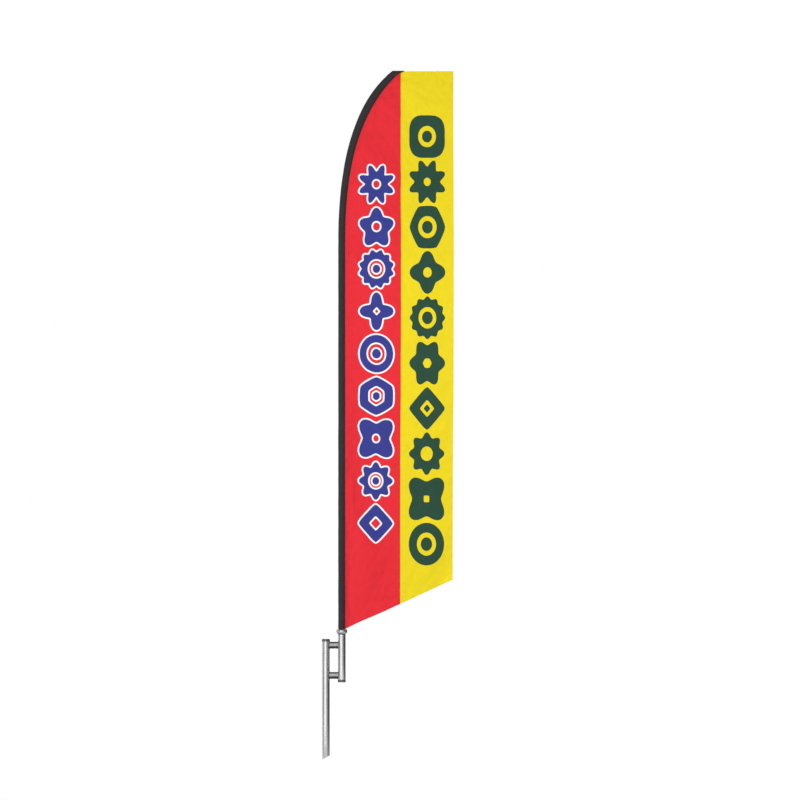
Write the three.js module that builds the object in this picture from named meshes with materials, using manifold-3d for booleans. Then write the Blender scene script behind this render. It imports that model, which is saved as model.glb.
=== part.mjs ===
// Feather flag with its sectional pole and H-shaped ground stake, in millimetres, +Z up.
// The origin is on the stake tube's axis at the ground line. +X points from the stake to the flag's
// fly edge, and the flag hangs in the XZ plane. The pole and everything on it turn in the socket tube.
import * as THREE from "three";
import { mergeVertices } from "three/addons/utils/BufferGeometryUtils.js";
import Module from "manifold-3d";

const GAP = 0.3; // between pieces that touch on the real object

// Ground stake
const PIPE_RADIUS = 24.15; // 1 1/2 inch pipe
const PIPE_WALL = 3.2;
const STAKE_DEPTH = 450; // driven length, below the ground line
const STAKE_TOP = 304; // top of the stake pipe, under its cap
const TIP_RISE = 26; // how much higher the slanted point ends on its short side
const CAP_RADIUS = 25.4;
const CAP_HEIGHT = 16;
const CAP_PLATE = 4; // thickness of the cap's flat plate
const CAP_EDGE = 1.5; // chamfer around it
const RUNG_HALF_HEIGHT = 21.2; // oval pipe, laid flat side to the front
const RUNG_HALF_DEPTH = 13;
const RUNG_HEIGHTS = { upper_rung: 269, lower_rung: 79 };

// Pole socket
const POLE_X = 100; // distance from the stake pipe's axis to the socket's axis
const SOCKET_LOW = 40;
const SOCKET_HIGH = 336;
const BAND = 4; // height of the bush's rim, which caps the socket
const BUSH_BORE = 16.5;
const BUSH_DEPTH = 42;
const BUSH_RECESS = 20; // radius of the pocket for the lower retaining ring
const BUSH_RECESS_DEPTH = 6;
const LOWER_BUSH_LOW = 70;
const LOWER_BUSH_HEIGHT = 24;

// Bearing collar
const COLLAR_LOW = SOCKET_HIGH + GAP + BAND + GAP;
const COLLAR_HIGH = 370;
const COLLAR_RADIUS = 35;
const COLLAR_BORE = 20.6;
const COLLAR_CROWN = 10; // how far its round outside stands out
const LINER_BORE = 16.5;
const RING_RADIUS = 18.4;
const RING_HEIGHT = 2.4;

// Pole
const FOOT_LOW = 54; // underside of the plug in the pole's foot
const FOOT_HEIGHT = 22;
const FOOT_ROUND = 4; // how much narrower its underside is
const LAP = 120; // how far each section slides into the one below
const SECTIONS = [
  { name: "pole_base_section", radius: 16, wall: 2, low: 60, high: 1270 },
  { name: "pole_second_section", radius: 13.6, wall: 1.8, low: 1270 - LAP, high: 2080 },
  { name: "pole_third_section", radius: 11.4, wall: 1.6, low: 2080 - LAP, high: 2740 },
];
const ROD_RADIUS_LOW = 6.5;
const ROD_RADIUS_HIGH = 3;
const ROD_HIGH = 3852;
const REDUCER_HEIGHT = 34;
const REDUCER_LIP = 10; // how far a reducer stands above its section
const REDUCER_WALL = 1.8;
const REDUCER_CHAMFER = 4;
const TIP_CAP_HEIGHT = 14;
const TIP_CAP_HALF_WIDTH = 11;
const TIP_CAP_HALF_DEPTH = 6;

// Flag
const FLAG_TOP = 3876;
const LEAD_LOW = 371; // underside of the sleeve and of the flag's corner beside it
const FOOT_SLOPE = 0.4627; // rise of the slanted lower edge for each millimetre across
const SEAM_X = 472; // where the red cloth meets the yellow
const FLY_X = 802;
const CLOTH = 1;
const SLEEVE_WALL = 1.2;
const SLEEVE_HALF = 22.4; // half the sleeve's width where it is straight
const SLEEVE_DEPTH_LOW = 21; // half its depth around the thick sections
const SLEEVE_DEPTH_HIGH = 14; // and around the thin rod, where the same cloth lies wider
const SLACK = 30; // how far the loose cloth leaves its plane
const POCKET_THICK = 3;
const POCKET_MARGIN = 2; // from the sleeve's outer edge to the patch
const POCKET_REACH = 22; // how far its tongue runs over the yellow corner
const TONGUE_LENGTH = 30;
const TONGUE_HALF = 2; // half the width of the tongue's end

// The pole's bend makes both edges of the sleeve follow a superellipse: upright at the start of the
// bend, and leaning over ever faster above it.
const OUTER_EDGE = { x: POLE_X - SLEEVE_HALF, start: 2765, across: 655, up: 1203, power: 2.387 };
const INNER_EDGE = { x: POLE_X + SLEEVE_HALF, start: 2738, across: 990, up: 1323, power: 2.563 };

// Colours and finishes
const FINISHES = {
  steel: new THREE.MeshStandardMaterial({ color: 0xa9abae, roughness: 0.35, metalness: 1 }),
  dark_steel: new THREE.MeshStandardMaterial({ color: 0x6b6c6e, roughness: 0.45, metalness: 1 }),
  aluminium: new THREE.MeshStandardMaterial({ color: 0xc4c6c8, roughness: 0.4, metalness: 1 }),
  plastic: new THREE.MeshStandardMaterial({ color: 0x2c2c2e, roughness: 0.6, metalness: 0 }),
  fibreglass: new THREE.MeshStandardMaterial({ color: 0x202123, roughness: 0.35, metalness: 0 }),
  rubber: new THREE.MeshStandardMaterial({ color: 0x1a1a1a, roughness: 0.85, metalness: 0 }),
  sleeve_cloth: new THREE.MeshStandardMaterial({ color: 0x383637, roughness: 0.9, metalness: 0 }),
  red_cloth: new THREE.MeshStandardMaterial({ color: 0xeb333d, roughness: 0.85, metalness: 0 }),
  yellow_cloth: new THREE.MeshStandardMaterial({ color: 0xf2dd24, roughness: 0.85, metalness: 0 }),
};

const wasm = await Module();
wasm.setup();

const flag = new THREE.Group();

function addPiece(name, geometry, finish) {
  const mesh = new THREE.Mesh(geometry, FINISHES[finish]);
  mesh.name = name;
  flag.add(mesh);
}

function toSolid(geometry) {
  const bare = geometry.clone();
  bare.deleteAttribute("normal");
  bare.deleteAttribute("uv");
  const merged = mergeVertices(bare, 1e-3);
  return new wasm.Manifold(
    new wasm.Mesh({
      numProp: 3,
      vertProperties: new Float32Array(merged.attributes.position.array),
      triVerts: new Uint32Array(merged.index.array),
    }),
  );
}

function toGeometry(solid) {
  const mesh = solid.getMesh();
  const geometry = new THREE.BufferGeometry();
  geometry.setAttribute("position", new THREE.BufferAttribute(mesh.vertProperties, 3));
  geometry.setIndex(new THREE.BufferAttribute(mesh.triVerts, 1));
  geometry.computeVertexNormals();
  return geometry;
}

function cut(geometry, ...tools) {
  let solid = toSolid(geometry);
  for (const tool of tools) {
    solid = solid.subtract(toSolid(tool));
  }
  return toGeometry(solid);
}

// A body turned about the Z axis at x, from [radius, height] corners that run anticlockwise as seen
// with the radius to the right and the height up.
function turned(corners, x = 0, sides = 36) {
  const profile = corners.map(([radius, height]) => new THREE.Vector2(radius, height));
  if (corners[0][0] > 0) {
    profile.push(profile[0].clone());
  }
  const geometry = new THREE.LatheGeometry(profile, sides);
  geometry.rotateX(Math.PI / 2);
  geometry.translate(x, 0, 0);
  return geometry;
}

function pipe(radius, bore, low, high, x = 0, sides = 36) {
  return turned([[bore, low], [radius, low], [radius, high], [bore, high]], x, sides);
}

function rod(radius, low, high, x = 0, sides = 36) {
  return turned([[0, low], [radius, low], [radius, high], [0, high]], x, sides);
}

function edgeAt(edge, z) {
  const rise = Math.max(0, (z - edge.start) / edge.up);
  const x = edge.x + edge.across * (1 - (1 - rise ** edge.power) ** (1 / edge.power));
  return Math.min(x, SEAM_X - GAP); // the sleeve's top corner stops at the seam
}

function poleAt(z) {
  return (edgeAt(OUTER_EDGE, z) + edgeAt(INNER_EDGE, z)) / 2;
}

function smooth(value, low, high) {
  const share = Math.min(1, Math.max(0, (value - low) / (high - low)));
  return share * share * (3 - 2 * share);
}

// The heights at which the bend is drawn, closer together towards the top, where it is sharper.
function bendHeights(start, end, steps) {
  const heights = [];
  for (let i = 0; i <= steps; i++) {
    heights.push(start + (end - start) * (1 - (1 - i / steps) ** 1.6));
  }
  return heights;
}

// Joins rings of points into one closed body. Every ring has as many points as the first, in the same
// turning direction, and the rings run round a closed tunnel when looped is true.
function skin(rings, looped) {
  const count = rings[0].length;
  const positions = rings.flat().flatMap((p) => [p.x, p.y, p.z]);
  const triangles = [];
  const last = looped ? rings.length : rings.length - 1;
  for (let r = 0; r < last; r++) {
    const next = (r + 1) % rings.length;
    for (let i = 0; i < count; i++) {
      const j = (i + 1) % count;
      triangles.push(r * count + i, r * count + j, next * count + j);
      triangles.push(r * count + i, next * count + j, next * count + i);
    }
  }
  if (!looped) {
    const top = (rings.length - 1) * count;
    for (let i = 1; i < count - 1; i++) {
      triangles.push(0, i + 1, i);
      triangles.push(top, top + i, top + i + 1);
    }
  }
  const geometry = new THREE.BufferGeometry();
  geometry.setAttribute("position", new THREE.Float32BufferAttribute(positions, 3));
  geometry.setIndex(triangles);
  geometry.computeVertexNormals();
  return geometry;
}

// A level ellipse of points, anticlockwise from above.
function ellipse(x, z, halfWidth, halfDepth, count) {
  const points = [];
  for (let i = 0; i < count; i++) {
    const angle = (2 * Math.PI * i) / count;
    points.push(new THREE.Vector3(x + halfWidth * Math.cos(angle), halfDepth * Math.sin(angle), z));
  }
  return points;
}

// --- Ground stake ---

function stakeTube() {
  const tube = pipe(PIPE_RADIUS, PIPE_RADIUS - PIPE_WALL, -STAKE_DEPTH, STAKE_TOP);
  const block = new THREE.BoxGeometry(200, 100, 100);
  block.translate(0, 0, -50);
  block.rotateY(-Math.atan2(TIP_RISE, 2 * PIPE_RADIUS));
  block.translate(-PIPE_RADIUS, 0, -STAKE_DEPTH);
  return cut(tube, block);
}

// A steel cap over the end of a pipe: a flat plate with a skirt around the pipe, its plate uppermost.
function endCap(x, pipeEnd) {
  const underPlate = pipeEnd + GAP;
  const top = underPlate + CAP_PLATE;
  const bore = PIPE_RADIUS + GAP;
  return turned([
    [0, underPlate],
    [bore, underPlate],
    [bore, top - CAP_HEIGHT],
    [CAP_RADIUS, top - CAP_HEIGHT],
    [CAP_RADIUS, top - CAP_EDGE],
    [CAP_RADIUS - CAP_EDGE, top],
    [0, top],
  ], x);
}

function socketEndCap() {
  const cap = endCap(POLE_X, -SOCKET_LOW);
  cap.rotateX(Math.PI); // turned over, which also takes the pipe's end from -Z to +Z
  return cap;
}

// An oval pipe across the gap between stake and socket, its ends notched to sit against both.
function rung(height) {
  const across = (inset) => {
    const ring = (x) => {
      const level = ellipse(0, 0, RUNG_HALF_HEIGHT - inset, RUNG_HALF_DEPTH - inset, 32);
      return level.map((p) => new THREE.Vector3(x, p.y, height - p.x));
    };
    return [ring(0), ring(POLE_X)];
  };
  const bar = skin([...across(0), ...across(PIPE_WALL).reverse()], true);
  const reach = 2 * RUNG_HALF_HEIGHT;
  const notches = [0, POLE_X].map((x) => rod(PIPE_RADIUS + GAP, height - reach, height + reach, x));
  return cut(bar, ...notches);
}

// --- Pole socket and its bearings ---

function socketRimBush() {
  const low = SOCKET_HIGH + GAP;
  const neck = PIPE_RADIUS - PIPE_WALL - GAP;
  return turned([
    [BUSH_BORE, low - BUSH_DEPTH],
    [neck, low - BUSH_DEPTH],
    [neck, low],
    [PIPE_RADIUS, low],
    [PIPE_RADIUS, low + BAND],
    [BUSH_RECESS, low + BAND],
    [BUSH_RECESS, low + BAND - BUSH_RECESS_DEPTH],
    [BUSH_BORE, low + BAND - BUSH_RECESS_DEPTH],
  ], POLE_X);
}

function socketLowerBush() {
  const neck = PIPE_RADIUS - PIPE_WALL - GAP;
  return pipe(neck, BUSH_BORE, LOWER_BUSH_LOW, LOWER_BUSH_LOW + LOWER_BUSH_HEIGHT, POLE_X);
}

// A bead-shaped ring: flat above and below, with a half-round outside.
function bearingCollar() {
  const middle = (COLLAR_LOW + COLLAR_HIGH) / 2;
  const halfHeight = (COLLAR_HIGH - COLLAR_LOW) / 2;
  const corners = [[COLLAR_BORE, COLLAR_LOW]];
  const steps = 12;
  for (let i = 0; i <= steps; i++) {
    const angle = Math.PI * (i / steps - 0.5);
    const radius = COLLAR_RADIUS - COLLAR_CROWN * (1 - Math.cos(angle));
    corners.push([radius, middle + halfHeight * Math.sin(angle)]);
  }
  corners.push([COLLAR_BORE, COLLAR_HIGH]);
  return turned(corners, POLE_X, 48);
}

function collarLiner() {
  return pipe(COLLAR_BORE - GAP, LINER_BORE, COLLAR_LOW + GAP, COLLAR_HIGH - GAP, POLE_X);
}

function retainingRing(low) {
  return pipe(RING_RADIUS, SECTIONS[0].radius + GAP, low, low + RING_HEIGHT, POLE_X);
}

// --- Pole ---

function poleSection({ radius, wall, low, high }) {
  return pipe(radius, radius - wall, low, high, POLE_X, 28);
}

function poleFootPlug() {
  const inside = SECTIONS[0].radius - SECTIONS[0].wall - GAP;
  const low = SECTIONS[0].low - GAP;
  return turned([
    [0, FOOT_LOW],
    [SECTIONS[0].radius - FOOT_ROUND, FOOT_LOW],
    [SECTIONS[0].radius, FOOT_LOW + 3],
    [SECTIONS[0].radius, low],
    [inside, low],
    [inside, low + FOOT_HEIGHT],
    [0, low + FOOT_HEIGHT],
  ], POLE_X);
}

// The moulded collar on the mouth of a section, which holds the thinner one that slides into it.
function reducer(section, innerRadius) {
  const bore = innerRadius + GAP;
  const skirt = section.radius + GAP;
  const top = section.high + REDUCER_LIP;
  const low = top - REDUCER_HEIGHT;
  const lip = section.high + GAP;
  return turned([
    [skirt, low],
    [skirt + REDUCER_WALL, low],
    [skirt + REDUCER_WALL, top - REDUCER_CHAMFER],
    [skirt, top],
    [bore, top],
    [bore, lip],
    [skirt, lip],
  ], POLE_X, 28);
}

// The flexible rod: straight where it stands in the third section, and bent over above it.
function tipRod() {
  const low = SECTIONS[2].high - LAP;
  const heights = [low, ...bendHeights(OUTER_EDGE.start, ROD_HIGH, 26)];
  const rings = heights.map((z) => {
    const share = (z - low) / (ROD_HIGH - low);
    const radius = THREE.MathUtils.lerp(ROD_RADIUS_LOW, ROD_RADIUS_HIGH, share);
    const lean = poleAt(z + 0.5) - poleAt(z - 0.5);
    return ellipse(poleAt(z), z, radius * Math.hypot(1, lean), radius, 12);
  });
  return skin(rings, false);
}

function rodSpacer() {
  const inside = SECTIONS[2].radius - SECTIONS[2].wall - GAP;
  const low = SECTIONS[2].high - LAP;
  return pipe(inside, ROD_RADIUS_LOW + GAP, low, SECTIONS[2].high, POLE_X, 28);
}

function tipCap() {
  const low = ROD_HIGH + GAP;
  const rings = [];
  const steps = 5;
  for (let i = 0; i <= steps; i++) {
    const share = i / steps;
    const z = low + TIP_CAP_HEIGHT * share;
    const round = Math.sqrt(1 - (share * 0.9) ** 2); // short of a full dome, so that the top is flat
    rings.push(ellipse(poleAt(z), z, TIP_CAP_HALF_WIDTH * round, TIP_CAP_HALF_DEPTH * round, 12));
  }
  return skin(rings, false);
}

// --- Flag ---

function sleeveDepth(z) {
  const thin = smooth(z, OUTER_EDGE.start - 100, OUTER_EDGE.start + 600);
  return THREE.MathUtils.lerp(SLEEVE_DEPTH_LOW, SLEEVE_DEPTH_HIGH, thin);
}

function flagSleeve() {
  const heights = [LEAD_LOW, ...bendHeights(OUTER_EDGE.start, FLAG_TOP, 30)];
  const section = (z, inset) => {
    const left = edgeAt(OUTER_EDGE, z);
    const right = edgeAt(INNER_EDGE, z);
    const lean = poleAt(z + 0.5) - poleAt(z - 0.5);
    const halfWidth = (right - left) / 2 - inset * Math.hypot(1, lean);
    return ellipse((left + right) / 2, z, halfWidth, sleeveDepth(z) - inset, 24);
  };
  const outside = heights.map((z) => section(z, 0));
  const inside = heights.map((z) => section(z, SLEEVE_WALL));
  return skin([...outside, ...inside.reverse()], true);
}

// The patch sewn over the sleeve's mouth, which the end of the rod pushes up against.
function tipPocket() {
  const left = edgeAt(OUTER_EDGE, FLAG_TOP) + POCKET_MARGIN;
  const right = edgeAt(INNER_EDGE, FLAG_TOP) + POCKET_REACH;
  const outline = new THREE.Shape();
  const halfDepth = SLEEVE_DEPTH_HIGH - 1;
  outline.moveTo(left + halfDepth, -halfDepth);
  outline.lineTo(right - TONGUE_LENGTH, -halfDepth);
  outline.lineTo(right, -TONGUE_HALF);
  outline.lineTo(right, TONGUE_HALF);
  outline.lineTo(right - TONGUE_LENGTH, halfDepth);
  outline.lineTo(left + halfDepth, halfDepth);
  outline.absarc(left + halfDepth, 0, halfDepth, Math.PI / 2, (3 * Math.PI) / 2);
  const patch = new THREE.ExtrudeGeometry(outline, { depth: POCKET_THICK, bevelEnabled: false, curveSegments: 8 });
  patch.translate(0, 0, FLAG_TOP + GAP);
  return patch;
}

// How far the cloth stands out of its plane: nothing along the sleeve, most at the fly edge.
function slackAt(x, z) {
  const lead = edgeAt(INNER_EDGE, z);
  const out = Math.max(0, (x - lead) / (FLY_X - lead));
  const up = (z - LEAD_LOW) / (FLAG_TOP - LEAD_LOW);
  const wave = Math.sin(2 * Math.PI * (1.35 * up + 0.12) - 0.8 * out);
  const calmTop = 1 - smooth(up, 0.8, 1);
  return SLACK * out ** 1.4 * wave * calmTop;
}

function footAt(x) {
  return LEAD_LOW + FOOT_SLOPE * (x - INNER_EDGE.x);
}

// A sheet between two lists of edge points of equal length, with its thickness in Y.
function sheet(leftEdge, rightEdge, columns) {
  const rings = leftEdge.map((start, r) => {
    const row = [];
    for (let c = 0; c <= columns; c++) {
      const point = start.clone().lerp(rightEdge[r], c / columns);
      point.y = slackAt(point.x, point.z);
      row.push(point);
    }
    const shifted = (side) => row.map((p) => p.clone().add(new THREE.Vector3(0, side, 0)));
    return [...shifted(-CLOTH / 2), ...shifted(CLOTH / 2).reverse()];
  });
  return skin(rings, false);
}

function redPanel() {
  const right = SEAM_X - GAP / 2;
  const top = FLAG_TOP - 10;
  const lead = [LEAD_LOW, 800, 1300, 1800, 2300, ...bendHeights(INNER_EDGE.start, top, 22)];
  const leftEdge = lead.map((z) => new THREE.Vector3(edgeAt(INNER_EDGE, z) + GAP, 0, z));
  const rightEdge = lead.map((z) => {
    const share = (z - LEAD_LOW) / (top - LEAD_LOW);
    return new THREE.Vector3(right, 0, THREE.MathUtils.lerp(footAt(right), top, share));
  });
  return sheet(leftEdge, rightEdge, 6);
}

function yellowPanel() {
  const left = SEAM_X + GAP / 2;
  const rows = 26;
  const edge = (x) => {
    const points = [];
    for (let r = 0; r <= rows; r++) {
      points.push(new THREE.Vector3(x, 0, THREE.MathUtils.lerp(footAt(x), FLAG_TOP, r / rows)));
    }
    return points;
  };
  return sheet(edge(left), edge(FLY_X), 6);
}

addPiece("stake_tube", stakeTube(), "steel");
addPiece("drive_cap", endCap(0, STAKE_TOP), "dark_steel");
for (const [name, height] of Object.entries(RUNG_HEIGHTS)) {
  addPiece(name, rung(height), "steel");
}
addPiece("socket_tube", pipe(PIPE_RADIUS, PIPE_RADIUS - PIPE_WALL, SOCKET_LOW, SOCKET_HIGH, POLE_X), "steel");
addPiece("socket_rim_bush", socketRimBush(), "plastic");
addPiece("socket_lower_bush", socketLowerBush(), "plastic");
addPiece("socket_end_cap", socketEndCap(), "dark_steel");

addPiece("bearing_collar", bearingCollar(), "steel");
addPiece("collar_liner", collarLiner(), "plastic");

addPiece("lower_retaining_ring", retainingRing(COLLAR_LOW - GAP - RING_HEIGHT), "dark_steel");
addPiece("upper_retaining_ring", retainingRing(COLLAR_HIGH + GAP), "dark_steel");
addPiece("pole_foot_plug", poleFootPlug(), "plastic");
for (const section of SECTIONS) {
  addPiece(section.name, poleSection(section), "aluminium");
}
addPiece("base_reducer", reducer(SECTIONS[0], SECTIONS[1].radius), "plastic");
addPiece("second_reducer", reducer(SECTIONS[1], SECTIONS[2].radius), "plastic");
addPiece("third_reducer", reducer(SECTIONS[2], ROD_RADIUS_LOW), "plastic");
addPiece("rod_spacer", rodSpacer(), "plastic");
addPiece("pole_tip_rod", tipRod(), "fibreglass");
addPiece("tip_cap", tipCap(), "rubber");

addPiece("flag_sleeve", flagSleeve(), "sleeve_cloth");
addPiece("tip_pocket", tipPocket(), "sleeve_cloth");
addPiece("red_panel", redPanel(), "red_cloth");
addPiece("yellow_panel", yellowPanel(), "yellow_cloth");

export default flag;
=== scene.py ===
import math

import bpy
import numpy as np
from mathutils import Matrix, Vector, noise
from mathutils.geometry import delaunay_2d_cdt
from mathutils.kdtree import KDTree


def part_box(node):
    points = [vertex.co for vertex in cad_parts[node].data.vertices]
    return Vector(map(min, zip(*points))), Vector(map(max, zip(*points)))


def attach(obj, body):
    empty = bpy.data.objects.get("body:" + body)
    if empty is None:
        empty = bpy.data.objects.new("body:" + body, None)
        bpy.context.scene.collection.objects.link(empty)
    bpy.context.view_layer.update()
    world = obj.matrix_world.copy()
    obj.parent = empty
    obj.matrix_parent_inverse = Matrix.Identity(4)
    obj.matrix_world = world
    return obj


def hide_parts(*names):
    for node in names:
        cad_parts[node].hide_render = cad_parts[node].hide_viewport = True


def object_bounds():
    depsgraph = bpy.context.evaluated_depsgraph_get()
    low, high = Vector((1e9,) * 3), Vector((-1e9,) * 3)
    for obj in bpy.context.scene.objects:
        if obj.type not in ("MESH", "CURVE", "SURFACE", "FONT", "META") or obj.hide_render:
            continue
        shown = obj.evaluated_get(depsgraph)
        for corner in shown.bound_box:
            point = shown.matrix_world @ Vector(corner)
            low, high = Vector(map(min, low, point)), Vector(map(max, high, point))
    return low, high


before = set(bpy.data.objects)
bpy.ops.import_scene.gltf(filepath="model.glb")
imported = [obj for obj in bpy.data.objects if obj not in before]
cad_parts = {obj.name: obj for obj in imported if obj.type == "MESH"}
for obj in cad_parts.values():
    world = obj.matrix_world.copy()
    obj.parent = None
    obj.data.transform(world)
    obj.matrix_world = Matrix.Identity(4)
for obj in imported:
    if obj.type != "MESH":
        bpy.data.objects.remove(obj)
cadLow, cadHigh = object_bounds()
bpy.ops.object.select_all(action="DESELECT")
print("frame loaded")

stakeLow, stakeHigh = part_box("stake_tube")
socketLow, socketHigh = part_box("socket_tube")
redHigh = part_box("red_panel")[1]
yellowLow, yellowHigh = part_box("yellow_panel")
poleX = (socketLow.x + socketHigh.x) / 2


# Materials

def newMaterial(name, colour, roughness, metallic=0.0):
    material = bpy.data.materials.new(name)
    material.use_nodes = True
    material.diffuse_color = (*colour, 1)
    shader = material.node_tree.nodes["Principled BSDF"]
    for key, value in (("Base Color", (*colour, 1)), ("Roughness", roughness), ("Metallic", metallic)):
        shader.inputs[key].default_value = value
    return material, material.node_tree, shader


def addNode(tree, kind, **settings):
    node = tree.nodes.new("ShaderNode" + kind)
    for key, value in settings.items():
        if key in node.inputs:
            node.inputs[key].default_value = value
        else:
            setattr(node, key, value)
    return node


def mathNode(tree, operation, first, second=None):
    node = addNode(tree, "Math", operation=operation)
    for index, value in enumerate((first, second)):
        if isinstance(value, (int, float)):
            node.inputs[index].default_value = value
        elif value is not None:
            tree.links.new(value, node.inputs[index])
    return node.outputs[0]


def times(tree, first, second):
    return mathNode(tree, "MULTIPLY", first, second)


def plus(tree, first, second):
    return mathNode(tree, "ADD", first, second)


def mixed(tree, first, second, share):
    return plus(tree, times(tree, first, 1 - share), times(tree, second, share))


def mapRange(tree, value, low, high, toLow, toHigh):
    node = addNode(tree, "MapRange")
    for key, number in (("From Min", low), ("From Max", high), ("To Min", toLow), ("To Max", toHigh)):
        node.inputs[key].default_value = number
    tree.links.new(value, node.inputs["Value"])
    return node.outputs["Result"]


def noiseNode(tree, vector, scale, detail=3.0, roughness=0.5):
    node = addNode(tree, "TexNoise", Scale=scale, Detail=detail, Roughness=roughness)
    tree.links.new(vector, node.inputs["Vector"])
    return node.outputs["Fac"]


def stretched(tree, vector, scale):
    node = addNode(tree, "Mapping", Scale=scale)
    tree.links.new(vector, node.inputs["Vector"])
    return node.outputs["Vector"]


def blendColours(tree, shader, factor, first, second):
    node = addNode(tree, "Mix", data_type="RGBA")
    for index, colour in ((6, first), (7, second)):
        node.inputs[index].default_value = (*colour, 1)
    tree.links.new(factor, node.inputs[0])
    tree.links.new(node.outputs[2], shader.inputs["Base Color"])


def addBump(tree, shader, height, strength, distance):
    node = addNode(tree, "Bump", Strength=strength, Distance=distance)
    tree.links.new(height, node.inputs["Height"])
    tree.links.new(node.outputs["Normal"], shader.inputs["Normal"])


cloth = {
    "yarn": 0.0011,  # one rib of the knit
    "loop": 0.0014,  # one loop along a rib
    "inkPatch": 9.0,  # how many soft ink patches to a metre
    "slub": (420, 26, 1),  # how many uneven yarns to a metre, across and along
    "sheen": 0.06,
}


def clothMaterial(name, colour, shade=0.9, ribs=1.0):
    # Warp-knitted polyester: ribs run up the flag, loops cross them, and the dye takes a little unevenly.
    material, tree, shader = newMaterial(name, colour, 0.82)
    shader.inputs["Sheen Weight"].default_value = cloth["sheen"]
    shader.inputs["Sheen Roughness"].default_value = 0.45
    shader.inputs["Specular IOR Level"].default_value = 0.28
    flat = addNode(tree, "UVMap", uv_map="flat").outputs["UV"]
    split = addNode(tree, "SeparateXYZ")
    tree.links.new(flat, split.inputs[0])
    turn = 2 * math.pi * ribs
    rib = mathNode(tree, "SINE", times(tree, split.outputs[0], turn / cloth["yarn"]))
    loop = mathNode(tree, "SINE", times(tree, split.outputs[1], turn / cloth["loop"]))
    weave = plus(tree, rib, times(tree, loop, 0.6))
    patches = noiseNode(tree, flat, cloth["inkPatch"], 4.0, 0.6)
    slubs = noiseNode(tree, stretched(tree, flat, cloth["slub"]), 1.0, 2.0, 0.6)
    fine = noiseNode(tree, flat, 900.0, 2.0)
    uneven = mixed(tree, patches, slubs, 0.45)
    darker = tuple(c * shade for c in colour)
    lighter = tuple(min(1.0, c * (2 - shade)) for c in colour)
    blendColours(tree, shader, mapRange(tree, uneven, 0.32, 0.68, 0.0, 1.0), darker, lighter)
    tree.links.new(mapRange(tree, uneven, 0.3, 0.7, 0.76, 0.9), shader.inputs["Roughness"])
    addBump(tree, shader, plus(tree, times(tree, weave, 0.5), fine), 0.25, 0.00012)
    return material


def metalMaterial(name, colour, roughness, streaks=(900, 900, 12), wear=0.0, grime=0.12, relief=0.035):
    # Drawn tube: fine streaks along it, a few deeper scratches, and a dull bloom in patches.
    material, tree, shader = newMaterial(name, colour, roughness, 1.0)
    place = addNode(tree, "TexCoord").outputs["Object"]
    streak = noiseNode(tree, stretched(tree, place, streaks), 1.0, 4.0, 0.65)
    scratch = noiseNode(tree, stretched(tree, place, tuple(3 * s for s in streaks)), 1.0, 2.0)
    bloom = noiseNode(tree, place, 11.0, 5.0, 0.6)
    speck = noiseNode(tree, place, 160.0, 3.0, 0.55)
    dull = mapRange(tree, mixed(tree, bloom, speck, 0.3), 0.4, 0.66, 0.0, 1.0)
    blendColours(tree, shader, dull, colour, tuple(c * (1 - grime) for c in colour))
    rough = plus(tree, mapRange(tree, streak, 0.3, 0.7, roughness - 0.04, roughness + 0.04),
                 mapRange(tree, dull, 0.0, 1.0, 0.0, 0.05 + wear))
    tree.links.new(rough, shader.inputs["Roughness"])
    addBump(tree, shader, mixed(tree, streak, scratch, 0.4), relief, 0.00006)
    return material


def mouldedMaterial(name, colour, roughness, grain=700.0):
    # Moulded plastic or rubber: an even spark-eroded grain with slightly polished patches.
    material, tree, shader = newMaterial(name, colour, roughness)
    place = addNode(tree, "TexCoord").outputs["Object"]
    patch = noiseNode(tree, place, 18.0, 4.0)
    polish = mapRange(tree, patch, 0.3, 0.7, roughness - 0.12, roughness + 0.08)
    tree.links.new(polish, shader.inputs["Roughness"])
    lighter = tuple(c * 1.7 + 0.004 for c in colour)
    blendColours(tree, shader, mapRange(tree, patch, 0.35, 0.75, 0.0, 0.6), colour, lighter)
    addBump(tree, shader, noiseNode(tree, place, grain, 2.0), 0.3, 0.00015)
    return material


def glassFibreMaterial(name, colour, strands):
    # Pulled glass fibre: long pale strands under a satin resin skin.
    material, tree, shader = newMaterial(name, colour, 0.38)
    place = addNode(tree, "TexCoord").outputs["Object"]
    strand = noiseNode(tree, stretched(tree, place, (900, 900, 14)), 1.0, 3.0, 0.7)
    blendColours(tree, shader, mapRange(tree, strand, 0.45, 0.75, 0.0, 1.0), colour, strands)
    tree.links.new(mapRange(tree, strand, 0.3, 0.7, 0.3, 0.46), shader.inputs["Roughness"])
    addBump(tree, shader, strand, 0.2, 0.0001)
    return material


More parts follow.
